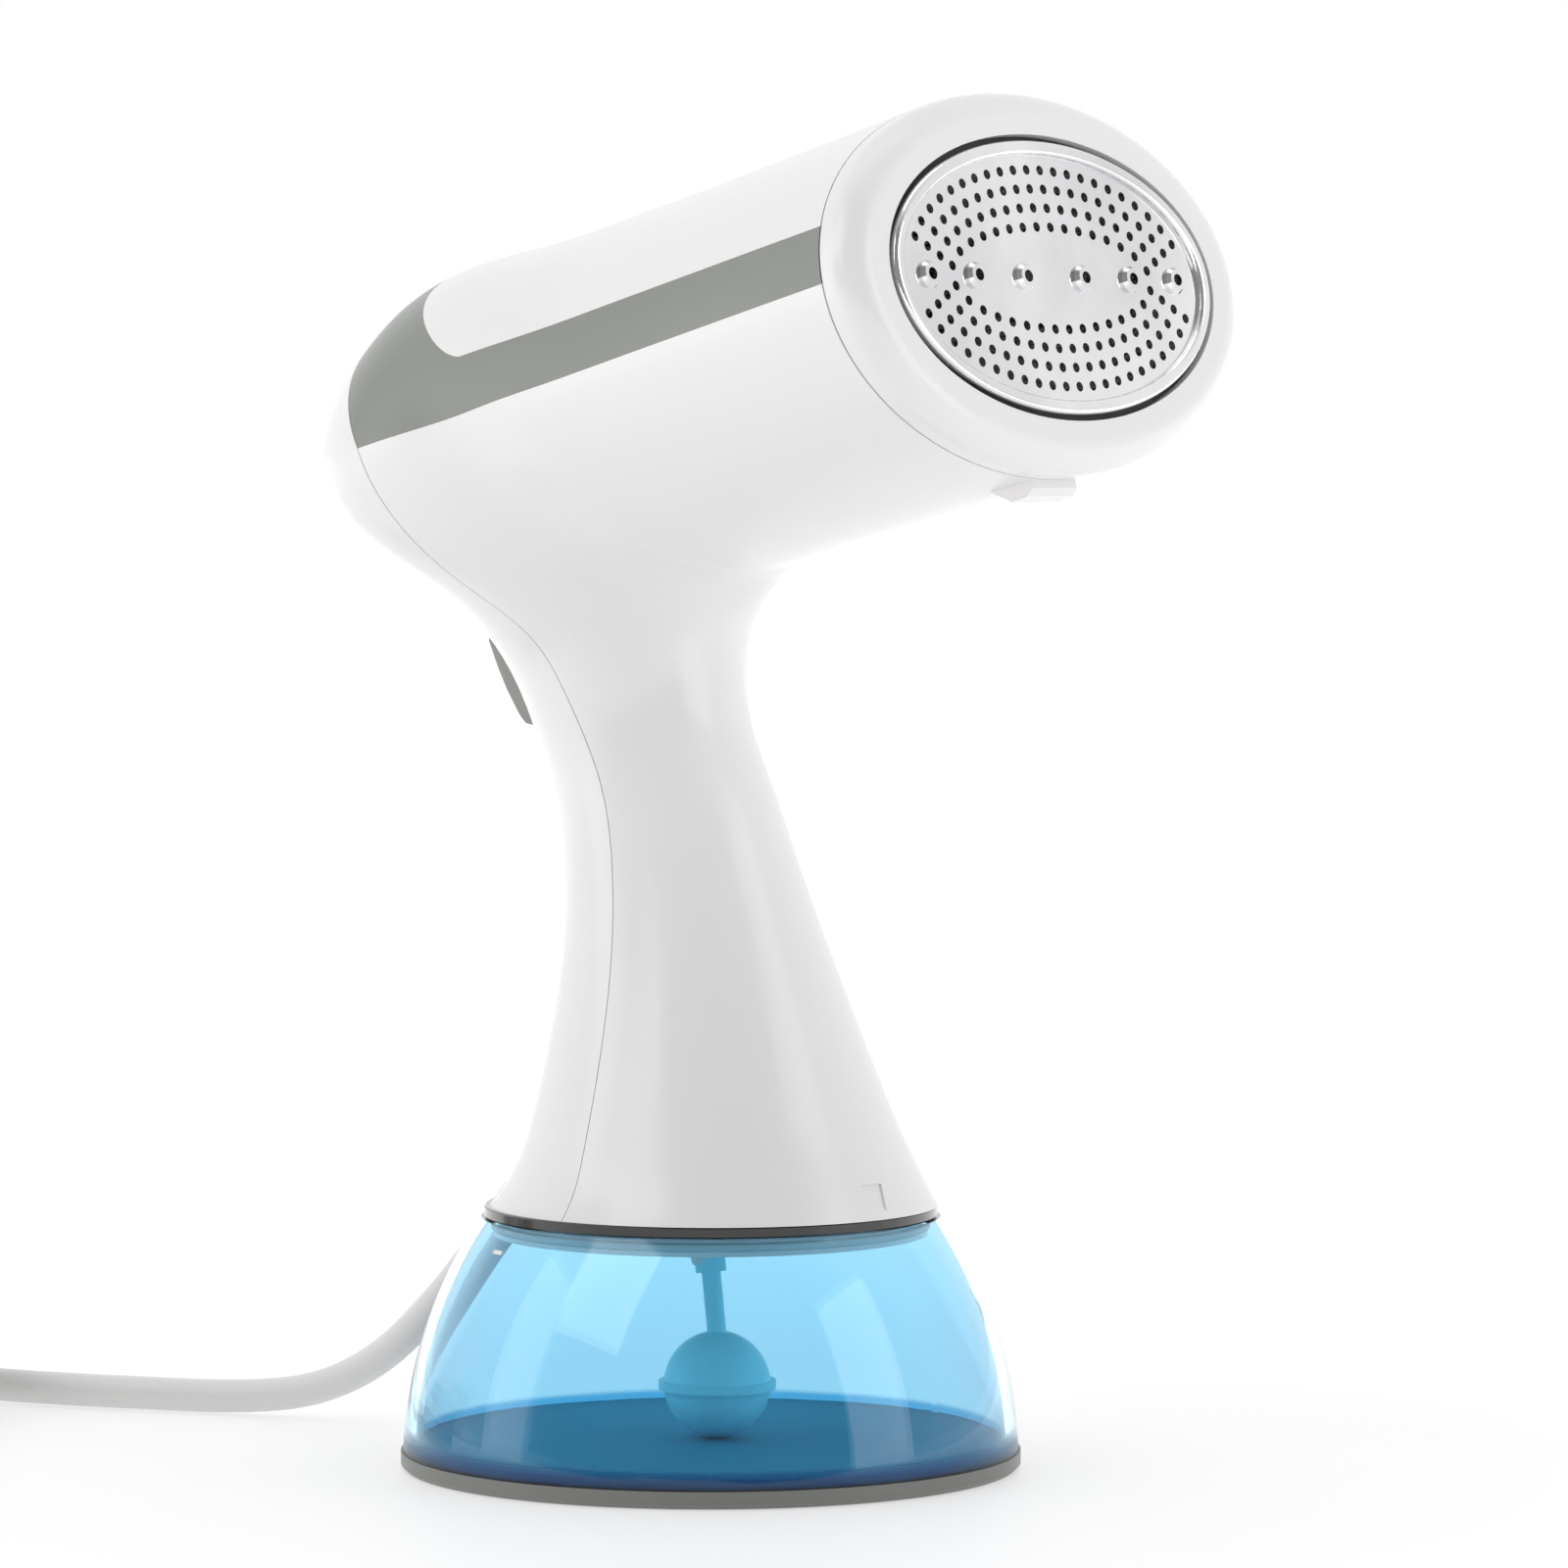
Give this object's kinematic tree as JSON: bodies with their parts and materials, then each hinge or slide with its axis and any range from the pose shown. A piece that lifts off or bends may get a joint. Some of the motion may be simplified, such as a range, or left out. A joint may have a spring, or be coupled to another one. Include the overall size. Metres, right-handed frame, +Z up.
{
  "type": "handheld garment steamer",
  "caption": "Handheld garment steamer: tilted barrel head with an oval perforated steam plate, waisted handle with a rear trigger, standing on a clear conical water tank.",
  "frame": {"origin": "centre of the tank's foot, on the surface the steamer stands on", "axes": "+Z up, +X the way the steam head points in plan, +Y to the left of that"},
  "size_m": [0.3218, 0.1794, 0.2535],
  "materials": {
    "white_gloss": "gloss",
    "trim_gray": "satin",
    "foot_gray": "satin",
    "collar_black": "gloss",
    "tank_clear": "clear gloss",
    "chrome": "polished",
    "seal_black": "matte",
    "silicone": "satin",
    "pickup_blue": "satin",
    "steel": "satin",
    "cast_aluminium": "cast",
    "heat_plastic": "matte",
    "copper_coil": "satin",
    "board_green": "satin",
    "part_dark": "satin",
    "lead_white": "satin",
    "wire_blue": "satin",
    "spring_steel": "bright",
    "blade_brass": "bright"
  },
  "bodies": {
    "tank": {"tank_shell": "tank_clear", "tank_floor": "tank_clear", "foot_base": "foot_gray", "power_cord": "lead_white", "cord_coil": "lead_white", "cord_tail": "lead_white", "plug_body": "lead_white", "plug_blades": "blade_brass"},
    "housing": {"base_collar": "collar_black", "base_plug": "white_gloss", "tank_seal": "silicone", "water_port": "white_gloss", "pickup_tube": "pickup_blue", "pickup_ball_upper": "pickup_blue", "pickup_ball_lower": "pickup_blue", "pickup_weight": "steel", "front_shell": "white_gloss", "rear_shell": "white_gloss", "side_trim": "trim_gray", "top_cover": "white_gloss", "trigger_pin": "steel", "microswitch": "part_dark", "switch_bracket": "heat_plastic", "trigger_spring": "spring_steel", "bezel": "white_gloss", "plate_seal": "seal_black", "brush_catch": "white_gloss", "steam_plate": "chrome", "plate_rim": "chrome", "steam_nozzles": "chrome", "boiler_block": "cast_aluminium", "boiler_cover": "cast_aluminium", "heating_element": "steel", "boiler_screws": "steel", "thermostat": "steel", "thermal_fuse": "steel", "heat_shield": "heat_plastic", "pump_coil": "copper_coil", "pump_core": "steel", "pump_web": "white_gloss", "pump_grommet": "seal_black", "inlet_hose": "silicone", "outlet_hose": "silicone", "control_board": "board_green", "board_parts": "part_dark", "board_posts": "white_gloss", "cord_clamp": "part_dark", "inner_wires": "wire_blue", "housing_screws": "steel", "strain_relief": "lead_white"},
    "trigger_lever": {"trigger": "trim_gray"}
  },
  "joints": [
    {"name": "tank_release", "type": "slide", "parent": "tank", "child": "housing", "axis": [0, 0, 1], "range_m": [0, 0.06]},
    {"name": "trigger_press", "type": "hinge", "parent": "housing", "child": "trigger_lever", "pos_m": [-0.0445, 0, 0.157], "axis": [0, -1, 0], "range_deg": [0, 5], "stiffness_Nm_per_rad": 0.5, "springref_deg": -11.46, "deforming": ["trigger_spring"]}
  ]
}
